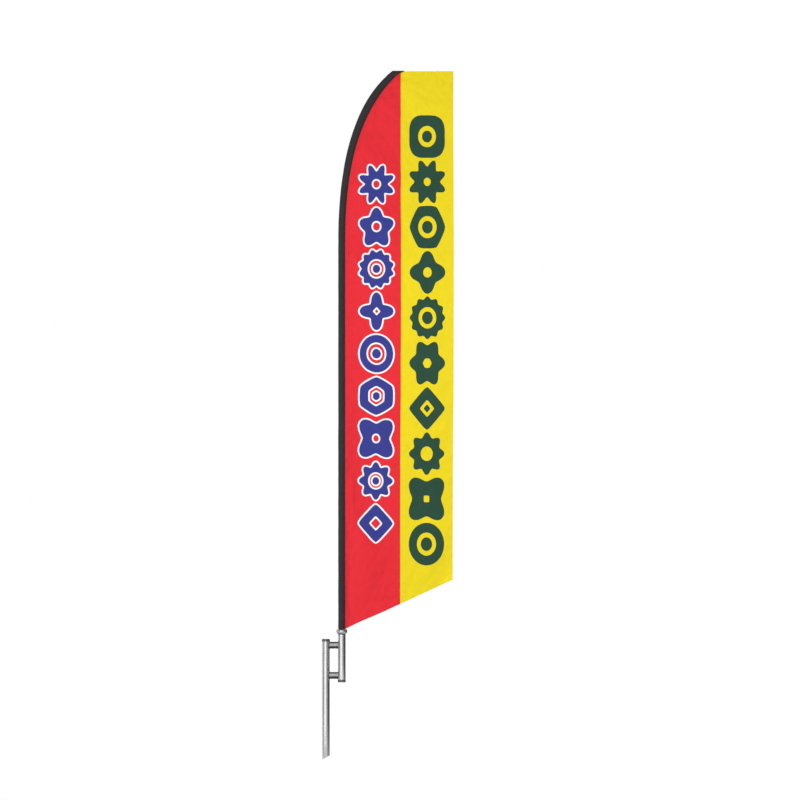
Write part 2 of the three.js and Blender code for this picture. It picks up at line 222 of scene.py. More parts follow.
paint = {
    "steel": metalMaterial("stake steel", (0.60, 0.60, 0.61), 0.22),
    "collarSteel": metalMaterial("collar steel", (0.53, 0.53, 0.54), 0.3),
    "rungSteel": metalMaterial("rung steel", (0.35, 0.35, 0.355), 0.3, (12, 900, 900)),
    # Dark steel: the clips' own finish, and on the end caps partly painted shade at the tube ends.
    "darkSteelAndShade": metalMaterial("dark steel and painted shade", (0.20, 0.20, 0.205), 0.36, (300, 300, 300), 0.08, 0.35, 0.1),
    "weld": metalMaterial("weld steel", (0.34, 0.33, 0.32), 0.38, (300, 300, 300), 0.08, 0.4, 0.15),
    "aluminium": metalMaterial("pole aluminium", (0.62, 0.63, 0.64), 0.33, (900, 900, 8)),
    "plastic": mouldedMaterial("black plastic", (0.022, 0.022, 0.024), 0.52),
    "rubber": mouldedMaterial("tip rubber", (0.012, 0.012, 0.012), 0.78, 420.0),
    "fibreglass": glassFibreMaterial("rod fibreglass", (0.015, 0.015, 0.017), (0.06, 0.06, 0.065)),
    "black": clothMaterial("sleeve cloth", (0.0300, 0.0275, 0.0285), 0.82, 0.8),
    "red": clothMaterial("red cloth", (0.82, 0.023, 0.037), 0.95),
    "yellow": clothMaterial("yellow cloth", (0.875, 0.70, 0.010), 0.96),
    "blue": clothMaterial("blue print", (0.038, 0.047, 0.285), 0.92),
    "white": clothMaterial("white print", (0.93, 0.93, 0.93), 0.97),
    "green": clothMaterial("green print", (0.021, 0.074, 0.044), 0.9),
    "redThread": mouldedMaterial("red thread", (0.62, 0.02, 0.035), 0.6, 2600.0),
    "yellowThread": mouldedMaterial("yellow thread", (0.80, 0.58, 0.02), 0.6, 2600.0),
    "blackThread": mouldedMaterial("black thread", (0.075, 0.072, 0.075), 0.6, 2600.0),
}
print("materials made")


# Steps that every piece uses

def finishPiece(piece, body, node, finish, *prints):
    for name in (finish, *prints):
        piece.data.materials.append(paint[name])
    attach(piece, body)
    if node:
        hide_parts(node)
    return piece


def selectOnly(piece):
    bpy.ops.object.select_all(action="DESELECT")
    piece.select_set(True)
    bpy.context.view_layer.objects.active = piece


def openMesh(piece):
    selectOnly(piece)
    bpy.ops.object.mode_set(mode="EDIT")
    bpy.ops.mesh.select_all(action="SELECT")


def closeMesh():
    # Every face is turned outwards before the mesh is left.
    bpy.ops.mesh.select_all(action="SELECT")
    bpy.ops.mesh.normals_make_consistent(inside=False)
    bpy.ops.object.mode_set(mode="OBJECT")


def bridgeOpenEdges():
    bpy.ops.mesh.select_mode(type="EDGE")
    bpy.ops.mesh.select_all(action="DESELECT")
    bpy.ops.mesh.select_non_manifold(extend=False)
    bpy.ops.mesh.bridge_edge_loops()


def applyModifier(piece, kind, name, **settings):
    modifier = piece.modifiers.new(name, kind)
    for key, value in settings.items():
        setattr(modifier, key, value)
    bpy.context.view_layer.objects.active = piece
    bpy.ops.object.modifier_apply(modifier=modifier.name)


def cutAway(piece, cutter):
    applyModifier(piece, "BOOLEAN", "cut", object=cutter, operation="DIFFERENCE", solver="EXACT")
    bpy.data.objects.remove(cutter)


def smoothPiece(piece, angle):
    selectOnly(piece)
    bpy.ops.object.shade_smooth_by_angle(angle=math.radians(angle))
    piece.select_set(False)


def softenEdges(piece, width, segments=3, angle=32.0):
    applyModifier(piece, "BEVEL", "soft edges", width=width, segments=segments, limit_method="ANGLE",
                  angle_limit=math.radians(angle))
    smoothPiece(piece, 40)


def addRing(name, sides, radius, place, scale=(1, 1, 1), rotation=(0, 0, 0)):
    bpy.ops.object.select_all(action="DESELECT")
    bpy.ops.mesh.primitive_circle_add(vertices=sides, radius=radius, location=place, rotation=rotation)
    piece = bpy.context.object
    piece.name = name
    piece.scale = scale
    bpy.ops.object.transform_apply(location=True, rotation=True, scale=True)
    openMesh(piece)
    return piece


def extrude(*step):
    bpy.ops.mesh.extrude_region_move(TRANSFORM_OT_translate={"value": step})


def turnPiece(name, profile, x=poleX, closed=True, sides=72, edge=0.0006):
    # A circle of edges is extruded and scaled from corner to corner of the wall's (radius, height) profile.
    radius, height = profile[0]
    piece = addRing(name, sides, radius, (x, 0, height))
    for nextRadius, nextHeight in profile[1:]:
        extrude(0, 0, nextHeight - height)
        ratio = nextRadius / radius
        bpy.ops.transform.resize(value=(ratio, ratio, 1), center_override=(x, 0, nextHeight))
        radius, height = nextRadius, nextHeight
    if closed:
        bridgeOpenEdges()
    else:
        bpy.ops.mesh.select_all(action="SELECT")
        bpy.ops.mesh.fill_holes(sides=0)
    closeMesh()
    if edge:
        softenEdges(piece, edge)
    return piece


def pipeProfile(radius, bore, low, high):
    return [(bore, low), (radius, low), (radius, high), (bore, high)]


def radiusOf(node):
    low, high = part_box(node)
    return (high.x - low.x) / 2


def makePipe(name, node, body, radius, bore, finish, sides=72):
    low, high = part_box(node)
    profile = pipeProfile(radius, bore, low.z, high.z)
    finishPiece(turnPiece(name, profile, sides=sides), body, node, finish)


def addMesh(name, vertices, faces, flat=None):
    # A new piece from points and faces; flat is the cloth's own place for each point or face corner.
    mesh = bpy.data.meshes.new(name)
    mesh.from_pydata(vertices, [], faces)
    if flat is not None:
        corners, places = np.concatenate(faces), np.array(flat)
        if len(places) != len(corners):
            places = places[corners % len(places)]
        mesh.uv_layers.new(name="flat").data.foreach_set("uv", places.ravel())
    piece = bpy.data.objects.new(name, mesh)
    bpy.context.scene.collection.objects.link(piece)
    return piece


def alongLine(*axes):
    return np.concatenate([[0], np.cumsum(np.sqrt(sum(np.diff(axis) ** 2 for axis in axes)))])


def unit(vectors):
    return vectors / np.linalg.norm(vectors, axis=1)[:, None]


# The ground stake

stake = {
    "wall": 0.0032,
    "tipRise": 0.026,  # how much higher the cut ends on its short side
    "capPlate": 0.004,
    "capLip": 0.0012,
    "clearance": 0.0003,
    "rungSink": 0.0004,  # how deep the rungs' ends go into the tubes' skin
    "weldRadius": 0.0024,
    "weldRipples": 34,
}
pipeRadius = radiusOf("stake_tube")


def makeStakeTube():
    # The driven end is cut on a slant with a bisect, and the cut wall is bridged shut.
    profile = pipeProfile(pipeRadius, pipeRadius - stake["wall"], stakeLow.z - 0.03, stakeHigh.z)
    tube = turnPiece("stakeTube", profile, 0, edge=0)
    openMesh(tube)
    slant = Vector((stake["tipRise"], 0, -2 * pipeRadius)).normalized()
    bpy.ops.mesh.bisect(plane_co=(-pipeRadius, 0, stakeLow.z), plane_no=slant, clear_outer=True)
    bridgeOpenEdges()
    closeMesh()
    softenEdges(tube, 0.0006)
    finishPiece(tube, "stake", "stake_tube", "steel")


def makeEndCap(name, node, x, facing):
    # A pressed cap: a slightly crowned plate, a rolled edge and a skirt around the pipe. Its dark colour is
    # partly painted shade that darkens the tube's end.
    low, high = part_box(node)
    outside = radiusOf(node)
    bore = pipeRadius + stake["clearance"]
    plate, far = (high.z, low.z) if facing > 0 else (low.z, high.z)
    inner = plate - facing * stake["capPlate"]
    lip = stake["capLip"]
    profile = [
        (0.002, inner), (bore - 0.001, inner), (bore, inner - facing * 0.001), (bore, far),
        (outside, far), (outside, far + facing * 0.0022), (outside - lip / 3, far + facing * 0.003),
        (outside - lip / 3, plate - facing * 0.0042), (outside - lip / 2, plate - facing * 0.002),
        (outside - 2 * lip, plate - facing * 0.0005), (outside - 4 * lip, plate),
        (outside - 9 * lip, plate), (0.002, plate),
    ]
    finishPiece(turnPiece(name, profile, x, closed=False, edge=0.0004), "stake", node, "darkSteelAndShade")


def ovalOf(node):
    low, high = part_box(node)
    return (high.z - low.z) / 2, (high.y - low.y) / 2, (high.z + low.z) / 2


def makeRung(name, node):
    # An oval pipe laid across, its ends notched with a boolean so that it sits against both tubes.
    tall, deep, height = ovalOf(node)
    rung = addRing(name, 96, 1, (0, 0, height), (tall, deep, 1), (0, math.pi / 2, 0))
    for step in range(12):
        extrude(poleX / 12, 0, 0)
    closeMesh()
    applyModifier(rung, "SOLIDIFY", "wall", thickness=stake["wall"], offset=-1.0, use_rim=True)
    for x in (0, poleX):
        bpy.ops.object.select_all(action="DESELECT")
        bpy.ops.mesh.primitive_cylinder_add(vertices=96, radius=pipeRadius - stake["rungSink"], depth=0.1,
                                            location=(x, 0, height))
        cutAway(rung, bpy.context.object)
    softenEdges(rung, 0.0003, 2, 50)
    finishPiece(rung, "stake", node, "rungSteel")


def makeWeld(name, node, x, side):
    # A bead of small overlapping ripples round the end of a rung, wrapped onto the tube it meets.
    tall, deep, height = ovalOf(node)
    bpy.ops.object.select_all(action="DESELECT")
    bpy.ops.mesh.primitive_torus_add(major_radius=1, minor_radius=stake["weldRadius"],
                                     major_segments=204, minor_segments=12, rotation=(0, math.pi / 2, 0))
    bead = bpy.context.object
    bead.name = name
    bpy.ops.object.transform_apply(location=True, rotation=True, scale=True)
    for vertex in bead.data.vertices:
        point = vertex.co
        around = math.atan2(point.z, point.y)
        outwards = math.hypot(point.y, point.z) - 1
        ripple = 0.8 + 0.2 * abs(math.sin(around * stake["weldRipples"] / 2))
        ripple += 0.06 * math.sin(5 * around + x * 40)
        reach = outwards * ripple + stake["rungSink"]
        y, z = (deep + reach) * math.cos(around), (tall + reach) * math.sin(around)
        saddle = math.sqrt(max(0.0, pipeRadius ** 2 - y ** 2))
        vertex.co = (x + side * (saddle + stake["rungSink"]) + point.x * ripple, y, z + height)
    bead.data.shade_smooth()
    finishPiece(bead, "stake", None, "weld")


def makeStake():
    makeStakeTube()
    makeEndCap("driveCap", "drive_cap", 0, 1)
    makeEndCap("socketEndCap", "socket_end_cap", poleX, -1)
    makePipe("socketTube", "socket_tube", "stake", pipeRadius, pipeRadius - stake["wall"], "steel")
    for node, name in (("upper_rung", "upperRung"), ("lower_rung", "lowerRung")):
        makeRung(name, node)
        makeWeld(name + "StakeWeld", node, 0, 1)
        makeWeld(name + "SocketWeld", node, poleX, -1)


makeStake()
print("stake made")


bearing = {
    "bore": 0.0165,  # of the bushes and the liner
    "recess": 0.020,  # pocket for the lower retaining ring
    "recessDepth": 0.006,
    "rim": 0.004,
    "collarBore": 0.0206,
    "crown": 0.010,  # how far the collar's round outside stands out
}


def makeBearings():
    low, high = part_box("socket_rim_bush")
    neck = pipeRadius - stake["wall"] - stake["clearance"]
    rimLow = high.z - bearing["rim"]
    floor = high.z - bearing["recessDepth"]
    bush = [(bearing["bore"], low.z), (neck, low.z), (neck, rimLow), (pipeRadius, rimLow),
            (pipeRadius, high.z), (bearing["recess"], high.z), (bearing["recess"], floor),
            (bearing["bore"], floor)]
    finishPiece(turnPiece("socketRimBush", bush), "stake", "socket_rim_bush", "plastic")
    makePipe("socketLowerBush", "socket_lower_bush", "stake", neck, bearing["bore"], "plastic")
    low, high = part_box("bearing_collar")
    middle, half = (low.z + high.z) / 2, (high.z - low.z) / 2
    profile = [(bearing["collarBore"], low.z)]
    for step in range(25):
        angle = math.pi * (step / 24 - 0.5)
        profile.append((radiusOf("bearing_collar") - bearing["crown"] * (1 - math.cos(angle)),
                        middle + half * math.sin(angle)))
    profile.append((bearing["collarBore"], high.z))
    finishPiece(turnPiece("bearingCollar", profile, sides=96), "swivel", "bearing_collar", "collarSteel")
    makePipe("collarLiner", "collar_liner", "swivel", radiusOf("collar_liner"), bearing["bore"], "plastic")


makeBearings()
print("bearings made")


# The flag's outline, shared by the pole's bend, the sleeve and the two panels

flag = {
    "outerEdge": {"x": 0.0776, "start": 2.765, "across": 0.655, "up": 1.203, "power": 2.387},
    "innerEdge": {"x": 0.1224, "start": 2.738, "across": 0.990, "up": 1.323, "power": 2.563},
    "footSlope": 0.4627,
    "slack": 0.030,
}
seamX, flyX = (redHigh.x + yellowLow.x) / 2, yellowHigh.x
flagTop, leadLow = yellowHigh.z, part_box("flag_sleeve")[0].z


def edgeAt(edge, z):
    rise = np.clip((np.asarray(z, float) - edge["start"]) / edge["up"], 0, 1)
    x = edge["x"] + edge["across"] * (1 - (1 - rise ** edge["power"]) ** (1 / edge["power"]))
    return np.minimum(x, seamX - 0.0003)


def poleAt(z):
    return (edgeAt(flag["outerEdge"], z) + edgeAt(flag["innerEdge"], z)) / 2


def leadAt(z):
    return edgeAt(flag["innerEdge"], z)


def footAt(x):
    return leadLow + flag["footSlope"] * (np.asarray(x, float) - flag["innerEdge"]["x"])


def smooth(value, low, high):
    share = np.clip((np.asarray(value, float) - low) / (high - low), 0, 1)
    return share * share * (3 - 2 * share)


def bendHeights(start, end, steps):
    return [start + (end - start) * (1 - (1 - i / steps) ** 1.6) for i in range(steps + 1)]


# The pole: three sections, their couplers, the foot plug, the clips and the bent rod

pole = {
    "walls": {"baseSection": 0.0020, "secondSection": 0.0018, "thirdSection": 0.0016},
    "clearance": 0.0003,
    "couplerSkirt": 0.0018,
    "couplerLip": 0.010,  # how far a coupler stands above its section
    "couplerGroove": 0.0006,
    "ribHeight": 0.0007,  # of the foot plug's ribs, which grip the bore
    "rodLow": 0.0065,
    "rodHigh": 0.0030,
    "clipWall": 0.0021,
    "clipGap": 0.006,
    "tipWide": 0.011,
    "tipDeep": 0.006,
}


def makeSections():
    for name, wall in pole["walls"].items():
        node = "pole_" + name.replace("Section", "_section")
        makePipe(name, node, "pole", radiusOf(node), radiusOf(node) - wall, "aluminium", 64)


def makeCouplers():
    couplers = {"base_reducer": ("pole_base_section", "pole_second_section"),
                "second_reducer": ("pole_second_section", "pole_third_section"),
                "third_reducer": ("pole_third_section", None)}
    for node, (outer, inner) in couplers.items():
        low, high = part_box(node)
        skirt = radiusOf(outer) + pole["clearance"]
        bore = (radiusOf(inner) if inner else pole["rodLow"]) + pole["clearance"]
        wide = skirt + pole["couplerSkirt"]
        groove = wide - pole["couplerGroove"]
        lip = high.z - pole["couplerLip"] + pole["clearance"]
        profile = [(skirt, low.z), (wide, low.z), (wide, low.z + 0.006), (groove, low.z + 0.007),
                   (groove, low.z + 0.012), (wide, low.z + 0.013), (wide, high.z - 0.004),
                   (skirt, high.z), (bore, high.z), (bore, lip), (skirt, lip)]
        name = node.split("_")[0] + "Coupler"
        finishPiece(turnPiece(name, profile, sides=64, edge=0.0004), "pole", node, "plastic")


def makeFootPlug():
    low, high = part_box("pole_foot_plug")
    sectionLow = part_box("pole_base_section")[0].z
    shoulder = sectionLow - pole["clearance"]
    outside = radiusOf("pole_foot_plug")
    inside = outside - pole["walls"]["baseSection"] - pole["clearance"]
    rib = inside - pole["ribHeight"]
    profile = [(0.002, low.z), (0.010, low.z), (0.012, low.z + 0.0005), (outside, low.z + 0.003),
               (outside, shoulder), (inside, shoulder)]
    for ridge in range(3):
        height = sectionLow + 0.004 + ridge * 0.005
        profile += [(inside, height), (rib, height + 0.0006), (rib, height + 0.0026),
                    (inside, height + 0.0032)]
    profile += [(inside, high.z - 0.001), (inside - 0.001, high.z), (0.002, high.z)]
    plug = turnPiece("footPlug", profile, closed=False, sides=64, edge=0.0003)
    finishPiece(plug, "pole", "pole_foot_plug", "plastic")


def makeClip(name, node, turnBy):
    # A split steel ring: turned whole, then a boolean takes out the gap that lets it spring on.
    low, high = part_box(node)
    outside = radiusOf(node)
    profile = pipeProfile(outside, outside - pole["clipWall"], low.z, high.z)
    clip = turnPiece(name, profile, edge=0)
    bpy.ops.object.select_all(action="DESELECT")
    bpy.ops.mesh.primitive_cube_add(size=1, location=(poleX, 0, (low.z + high.z) / 2))
    gap = bpy.context.object
    gap.scale = (outside * 2, pole["clipGap"], 0.01)
    bpy.ops.object.transform_apply(location=False, rotation=False, scale=True)
    gap.data.transform(Matrix.Translation((outside, 0, 0)))
    gap.rotation_euler = (0, 0, math.radians(turnBy))
    cutAway(clip, gap)
    softenEdges(clip, 0.0004)
    finishPiece(clip, "pole", node, "darkSteelAndShade")


def risePiece(name, levels, sides):
    # A ring of edges climbs from level to level, each an (x, z, half width, half depth), then is capped.
    x, z, wide, deep = levels[0]
    piece = addRing(name, sides, 1, (x, 0, z), (wide, deep, 1))
    for nextX, nextZ, nextWide, nextDeep in levels[1:]:
        extrude(nextX - x, 0, nextZ - z)
        bpy.ops.transform.resize(value=(nextWide / wide, nextDeep / deep, 1),
                                 center_override=(nextX, 0, nextZ))
        x, z, wide, deep = nextX, nextZ, nextWide, nextDeep
    bpy.ops.mesh.select_all(action="SELECT")
    bpy.ops.mesh.fill_holes(sides=0)
    closeMesh()
    return piece


def makeRod():
    low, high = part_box("pole_tip_rod")
    start = flag["outerEdge"]["start"]
    levels = []
    for z in [low.z, (low.z + start) / 2] + bendHeights(start, high.z, 60):
        share = (z - low.z) / (high.z - low.z)
        radius = pole["rodLow"] + (pole["rodHigh"] - pole["rodLow"]) * share
        lean = float(poleAt(z + 0.0005) - poleAt(z - 0.0005)) / 0.001
        levels.append((float(poleAt(z)), z, radius * math.hypot(1, lean), radius))
    rod = risePiece("bentRod", levels, 24)
    softenEdges(rod, 0.0004, 2)
    finishPiece(rod, "pole", "pole_tip_rod", "fibreglass")
    low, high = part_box("tip_cap")
    levels = []
    for step in range(13):
        share = step / 12
        z = low.z + (high.z - low.z) * share
        swell = math.sqrt(1 - (share * 0.98) ** 2) if share > 0 else 1
        levels.append((float(poleAt(z)), z, pole["tipWide"] * swell, pole["tipDeep"] * swell))
    tip = risePiece("rodTip", levels, 32)
    softenEdges(tip, 0.0006, 2, 50)
    finishPiece(tip, "pole", "tip_cap", "rubber")
    bore = pole["rodLow"] + pole["clearance"]
    makePipe("rodSpacer", "rod_spacer", "pole", radiusOf("rod_spacer"), bore, "plastic", 48)


def makePole():
    makeSections()
    makeCouplers()
    makeFootPlug()
    makeClip("lowerClip", "lower_retaining_ring", -60)
    makeClip("upperClip", "upper_retaining_ring", -120)
    makeRod()


makePole()
print("pole made")


# How the cloth hangs: a sheet a little larger than its outline settles between its pinned edges

drape = {
    "columns": 30,
    "rows": 150,
    "frames": 45,
    "spare": 0.012,  # how much larger the cloth is cut than its outline
    "mostSlide": 0.005,
    "mostStand": 0.037,
    "flyHold": 0.04,  # how firmly the fly is held, from 0 to 1
    "cloth": {"quality": 7, "mass": 0.004, "air_damping": 2.5, "tension_stiffness": 30,
              "compression_stiffness": 30, "shear_stiffness": 12, "bending_stiffness": 0.35},
}


def slackAt(x, z):
    lead = leadAt(z)
    out = np.maximum(0, (x - lead) / (flyX - lead))
    up = (z - leadLow) / (flagTop - leadLow)
    wave = np.sin(2 * math.pi * (1.35 * up + 0.12) - 0.8 * out)
    return flag["slack"] * out ** 1.4 * wave * (1 - smooth(up, 0.8, 1))


def sharesOf(x, z):
    x, z = np.asarray(x, float), np.asarray(z, float)
    lead, foot = leadAt(z), footAt(x)
    return (x - lead) / (flyX - lead), (z - foot) / (flagTop - foot)


def placeOf(across, up):
    x = np.full_like(across, seamX)
    z = leadLow + up * (flagTop - leadLow)
    for _ in range(60):
        x = leadAt(z) + across * (flyX - leadAt(z))
        z = footAt(x) + up * (flagTop - footAt(x))
    return x, z


def settleCloth():
    columns, rows = drape["columns"], drape["rows"]
    across, up = np.meshgrid(np.linspace(0, 1, columns + 1), np.linspace(0, 1, rows + 1))
    x, z = placeOf(across, up)
    y = slackAt(x, z)
    start = np.stack([x, y, z], axis=-1).reshape(-1, 3)
    wide = columns + 1
    faces = [(j * wide + i, j * wide + i + 1, (j + 1) * wide + i + 1, (j + 1) * wide + i)
             for j in range(rows) for i in range(columns)]
    sheet = addMesh("looseCloth", start.tolist(), faces)
    held = sheet.vertex_groups.new(name="held")
    for index in range(len(start)):
        i, j = index % wide, index // wide
        weight = 1.0 if i == 0 or j == rows else 0.0
        if weight == 0 and i == columns:
            weight = drape["flyHold"]
        if weight:
            held.add([index], weight, "REPLACE")
    modifier = sheet.modifiers.new("hang", "CLOTH")
    settings = modifier.settings
    for key, value in drape["cloth"].items():
        setattr(settings, key, value)
    settings.shrink_min = -drape["spare"]
    settings.vertex_group_mass = "held"
    settings.pin_stiffness = 1.0
    modifier.collision_settings.use_collision = False
    modifier.point_cache.frame_start = 1
    modifier.point_cache.frame_end = drape["frames"]
    scene = bpy.context.scene
    for frameNumber in range(1, drape["frames"] + 1):
        scene.frame_set(frameNumber)
    settled = sheet.evaluated_get(bpy.context.evaluated_depsgraph_get())
    points = np.empty(len(start) * 3)
    settled.data.vertices.foreach_get("co", points)
    shift = points.reshape(-1, 3) - np.stack([x, np.zeros_like(y), z], axis=-1).reshape(-1, 3)
    bpy.data.objects.remove(sheet)
    scene.frame_set(1)
    print("cloth moved", [round(float(v), 4) for v in np.abs(shift).max(axis=0)])
    shift = shift.reshape(rows + 1, columns + 1, 3)
    for axis, most in ((0, drape["mostSlide"]), (1, drape["mostStand"]), (2, drape["mostSlide"])):
        shift[..., axis] = most * np.tanh(shift[..., axis] / most)
    shift[..., 2] *= smooth(across, 0, 0.35)
    return shift


clothShift = settleCloth()
print("cloth settled")


def curveWeights(share):
    square, cube = share ** 2, share ** 3
    return [(-cube + 2 * square - share) / 2, (3 * cube - 5 * square + 2) / 2,
            (-3 * cube + 4 * square + share) / 2, (cube - square) / 2]


def clothAt(x, z):
    # The settled cloth at any flat place, blended smoothly between the points of the settled sheet.
    across, up = sharesOf(x, z)
    rows, columns = clothShift.shape[0] - 1, clothShift.shape[1] - 1
    column = np.clip(across * columns, 0, columns - 1e-9)
    row = np.clip(up * rows, 0, rows - 1e-9)
    i, j = column.astype(int), row.astype(int)
    acrossWeights, upWeights = curveWeights(column - i), curveWeights(row - j)
    total = np.zeros(np.shape(across) + (3,))
    for down in range(4):
        for right in range(4):
            weight = upWeights[down] * acrossWeights[right]
            place = np.clip(j + down - 1, 0, rows), np.clip(i + right - 1, 0, columns)
            total += weight[..., None] * clothShift[place]
    return np.stack([x + total[..., 0], total[..., 1], z + total[..., 2]], axis=-1)


# Printed ornaments: plain geometric shapes, each an outline around its middle with an optional hole

prints = {
    "blue": {"x": 0.3185, "low": 0.905, "high": 3.299, "wide": 0.212, "gap": 0.030, "line": 0.0105},
    "green": {"x": 0.6373, "low": 0.767, "high": 3.607, "wide": 0.2225, "gap": 0.016, "line": 0.0},
    "steps": 120,
}

# corners, depth of the waists, turn in degrees, size of the hole and its corners, size of the dot in it
blueShapes = [(4, 0.00, 0, 0.42, 4, 0.0), (8, 0.20, 0, 0.46, 0, 0.20), (4, 0.30, 45, 0.26, 0, 0.0),
              (6, 0.00, 90, 0.58, 6, 0.24), (0, 0.00, 0, 0.60, 0, 0.26), (4, 0.38, 0, 0.24, 4, 0.0),
              (12, 0.12, 15, 0.52, 0, 0.22), (5, 0.26, 90, 0.30, 0, 0.0), (8, 0.30, 22.5, 0.28, 0, 0.0)]
greenShapes = [(0, 0.00, 0, 0.54, 0, 0.32), (4, 0.28, 45, 0.22, 4, 0.0), (8, 0.18, 0, 0.34, 0, 0.0),
               (4, 0.00, 0, 0.42, 4, 0.20), (6, 0.20, 0, 0.26, 6, 0.0), (12, 0.10, 0, 0.50, 0, 0.30),
               (4, 0.26, 0, 0.24, 0, 0.0), (6, 0.00, 0, 0.52, 0, 0.30), (8, 0.26, 22.5, 0.22, 8, 0.0),
               (4, 0.10, 45, 0.50, 0, 0.28)]


def ringOf(corners, waist, turn, size):
    # A rounded polygon, star or circle of half width 1 times size, as distances at even angles.
    angle = np.linspace(0, 2 * math.pi, prints["steps"], endpoint=False)
    if corners == 0:
        return np.full_like(angle, size)
    local = angle - math.radians(turn)
    if waist > 0:
        reach = 1 - waist * (1 - np.cos(corners * local)) / 2 * 1.25
    else:
        half = math.pi / corners
        fold = np.abs((local + half) % (2 * half) - half)
        straight = math.cos(half) / np.cos(half - fold)
        reach = 1 / (1 / straight ** 14 + 1 / 0.96 ** 14) ** (1 / 14)
    return size * reach


def widened(ring, amount):
    # The ring moved outwards (or inwards) by an even amount all round.
    count = len(ring)
    angle = np.linspace(0, 2 * math.pi, count, endpoint=False)
    x, y = ring[:, 0], ring[:, 1]
    length, around = np.hypot(x, y), np.arctan2(y, x)
    apart = angle[:, None] - around[None, :]
    cross = length[None, :] * np.sin(apart)
    inside = np.maximum(amount ** 2 - cross ** 2, 0)
    near = (np.abs(cross) <= abs(amount)) & (np.cos(apart) > 0)
    reach = length[None, :] * np.cos(apart) + np.sign(amount) * np.sqrt(inside)
    if amount > 0:
        best = np.where(near, reach, -1e9).max(axis=1)
    else:
        best = np.where(near, reach, 1e9).min(axis=1)
    return np.stack([best * np.cos(angle), best * np.sin(angle)], axis=1)


def thinned(loop):
    # Fewer points on a small loop, so that none lie closer than the cloth's mesh needs.
    spacing = float(np.linalg.norm(np.diff(loop, axis=0), axis=1).mean())
    for step in (1, 2, 3, 4, 5):
        if spacing * step > 0.0045:
            break
    return loop[::step]


def makeOrnaments(shapes, layout):
    # Each ornament is a centre and its bands, each a loop and the material inside it, from outside in.
    pitch = (layout["high"] - layout["low"]) / len(shapes)
    tall = (pitch - layout["gap"]) / 2
    wide = layout["wide"] / 2
    line = layout["line"]
    angle = np.linspace(0, 2 * math.pi, prints["steps"], endpoint=False)
    circle = np.stack([np.cos(angle), np.sin(angle)], axis=1)
    ornaments = []
    for index, (corners, waist, turn, hole, holeCorners, dot) in enumerate(shapes):
        centre = np.array([layout["x"], layout["low"] + (index + 0.5) * pitch])
        outer = circle * ringOf(corners, waist, turn, 1.0)[:, None]
        outer -= (outer.max(axis=0) + outer.min(axis=0)) / 2
        outer = outer / np.abs(outer).max(axis=0) * (wide, tall)
        holeTurn = turn if holeCorners == corners else 0
        inner, middle = (circle * ringOf(holeCorners, 0, holeTurn, size)[:, None] * (wide, tall)
                         for size in (hole, dot))
        if line:
            bands = [(widened(outer, line), 1), (outer, 2), (inner, 1), (widened(inner, -line), 0)]
            bands += [(widened(middle, line), 1), (middle, 2)] if dot else []
        else:
            bands = [(outer, 1), (inner, 0)]
            bands += [(middle, 1)] if dot else []
        ornaments.append((centre, [(thinned(loop), material) for loop, material in bands]))
    return ornaments


def insideLoop(points, centre, loop):
    place = points - centre
    around = np.arctan2(place[:, 1], place[:, 0])
    loopAround = np.arctan2(loop[:, 1], loop[:, 0])
    order = np.argsort(loopAround)
    reach = np.interp(around, loopAround[order], np.hypot(loop[:, 0], loop[:, 1])[order], period=2 * math.pi)
    return np.hypot(place[:, 0], place[:, 1]) < reach


# The two printed panels

panel = {
    "pitch": 0.0085,
    "thick": 0.0005,
    "hem": 0.014,
    "hemThick": 0.0014,
    "seamWide": 0.006,
    "seamThick": 0.0016,
    "tuck": 0.0012,  # how far the red cloth goes in between the sleeve's two layers
    "pucker": 0.0010,
    "puckerLength": 0.046,
    "puckerFade": 0.030,
    "overlap": 0.00005,  # how far each panel runs past the middle of their seam
}


def evenly(start, end, pitch):
    start, end = np.array(start, float), np.array(end, float)
    count = max(1, round(float(np.linalg.norm(end - start)) / pitch))
    return [tuple(start + (end - start) * k / count) for k in range(count)]


def sewnDistance(x, z, side):
    # How far a flat place is from the panel's hem and from its seams.
    foot = (z - footAt(x)) / math.hypot(1, flag["footSlope"])
    slope = (leadAt(z + 0.001) - leadAt(z - 0.001)) / 0.002
    if side == "red":
        lead = (x - leadAt(z)) / np.hypot(1, slope)
        return foot, np.minimum(lead, seamX - x)
    hem = np.minimum(np.minimum(foot, flyX - x), flagTop - z)
    return hem, x - seamX


def thicknessAt(x, z, side):
    hem, seam = sewnDistance(x, z, side)
    thick, hemEdge, seamEdge = panel["thick"], panel["hem"], panel["seamWide"]
    hemmed = thick + (panel["hemThick"] - thick) * (1 - smooth(hem, hemEdge, hemEdge + 0.001))
    seamed = thick + (panel["seamThick"] - thick) * (1 - smooth(seam, seamEdge, seamEdge + 0.002))
    return np.maximum(hemmed, seamed)


def puckerAt(x, z, side):
    # Stitching draws the cloth up into short ripples that fade away from the thread.
    seam = sewnDistance(x, z, side)[1]
    turn = 2 * math.pi / panel["puckerLength"]
    along = np.sin(turn * z + 2.1 * np.sin(z * 9.3) + 5 * x)
    along += 0.5 * np.sin(turn * 1.7 * z + 3 * np.sin(z * 5.1))
    across = np.sin(turn * x + 1.3 * np.sin(x * 31)) + 0.4 * np.sin(turn * 1.6 * (x + z))
    fly = flyX - x if side == "yellow" else np.full_like(x, 9.0)
    fade = panel["puckerFade"]
    ripple = along * np.exp(-np.abs(seam) / fade) * smooth(seam, 0, 0.012)
    ripple += along * 0.8 * np.exp(-np.abs(fly) / fade)
    ripple += across * 0.9 * np.exp(-np.abs(z - footAt(x)) / fade)
    return panel["pucker"] * ripple


def onCloth(x, z, side):
    points = clothAt(x, z)
    points[..., 1] += puckerAt(x, z, side)
    return points


